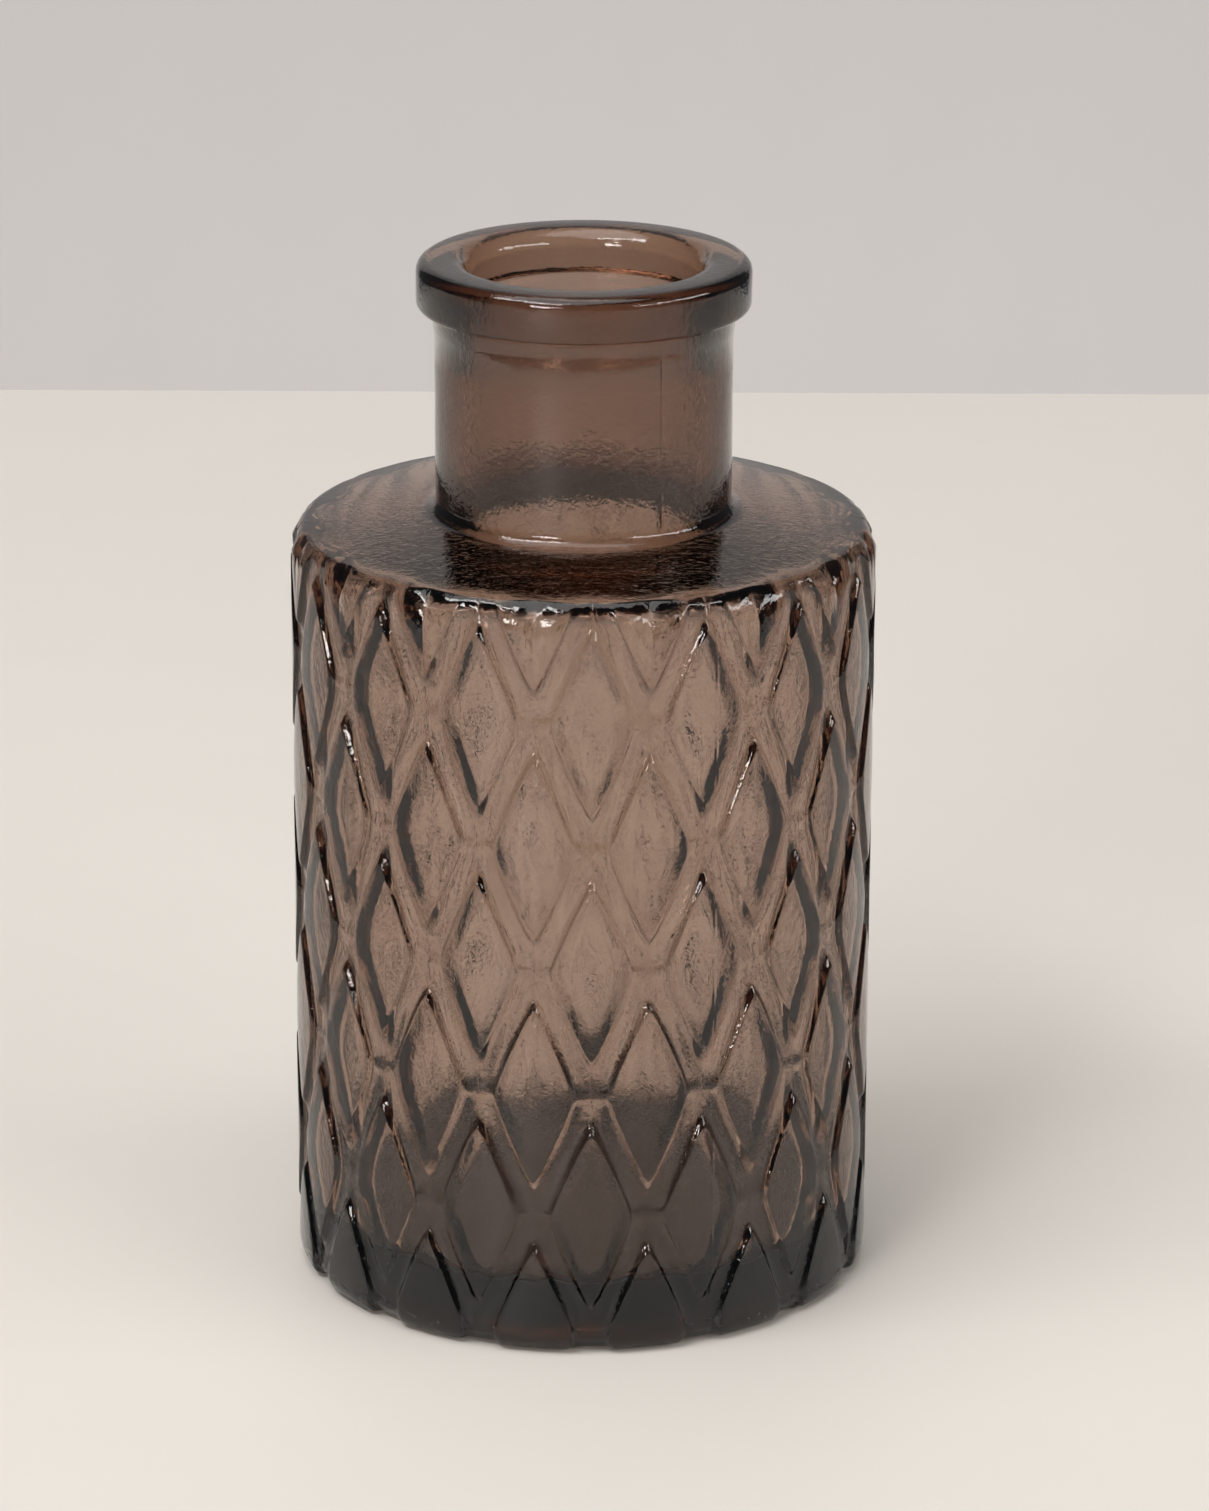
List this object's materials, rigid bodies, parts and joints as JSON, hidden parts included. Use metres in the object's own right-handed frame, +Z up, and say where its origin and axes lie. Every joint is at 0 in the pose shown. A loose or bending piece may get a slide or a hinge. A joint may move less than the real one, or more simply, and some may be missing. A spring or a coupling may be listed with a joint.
{
  "type": "glass bud vase",
  "caption": "Small bottle-shaped bud vase in smoky brown glass, with raised lozenges round a cylindrical body, a flat shoulder, a straight neck and a thick rolled lip.",
  "frame": {"origin": "centre of the base, at the height of the surface that the vase stands on", "axes": "+Z up along the vase's axis, out of the mouth; -Y towards the front"},
  "size_m": [0.06, 0.06, 0.1075],
  "materials": {
    "smoke_glass": "smoky brown moulded soda-lime glass, fire-polished, slightly wavy"
  },
  "bodies": {
    "root": {"base_plate": "smoke_glass", "heel_ring": "smoke_glass", "body_wall": "smoke_glass", "lozenge_row_1": "smoke_glass", "lozenge_row_2": "smoke_glass", "lozenge_row_3": "smoke_glass", "lozenge_row_4": "smoke_glass", "lozenge_row_5": "smoke_glass", "lozenge_row_6": "smoke_glass", "lozenge_row_7": "smoke_glass", "shoulder_corner": "smoke_glass", "shoulder": "smoke_glass", "neck_root": "smoke_glass", "neck": "smoke_glass", "parting_ring": "smoke_glass", "lip": "smoke_glass", "body_seams": "smoke_glass", "neck_seams": "smoke_glass"}
  },
  "joints": []
}
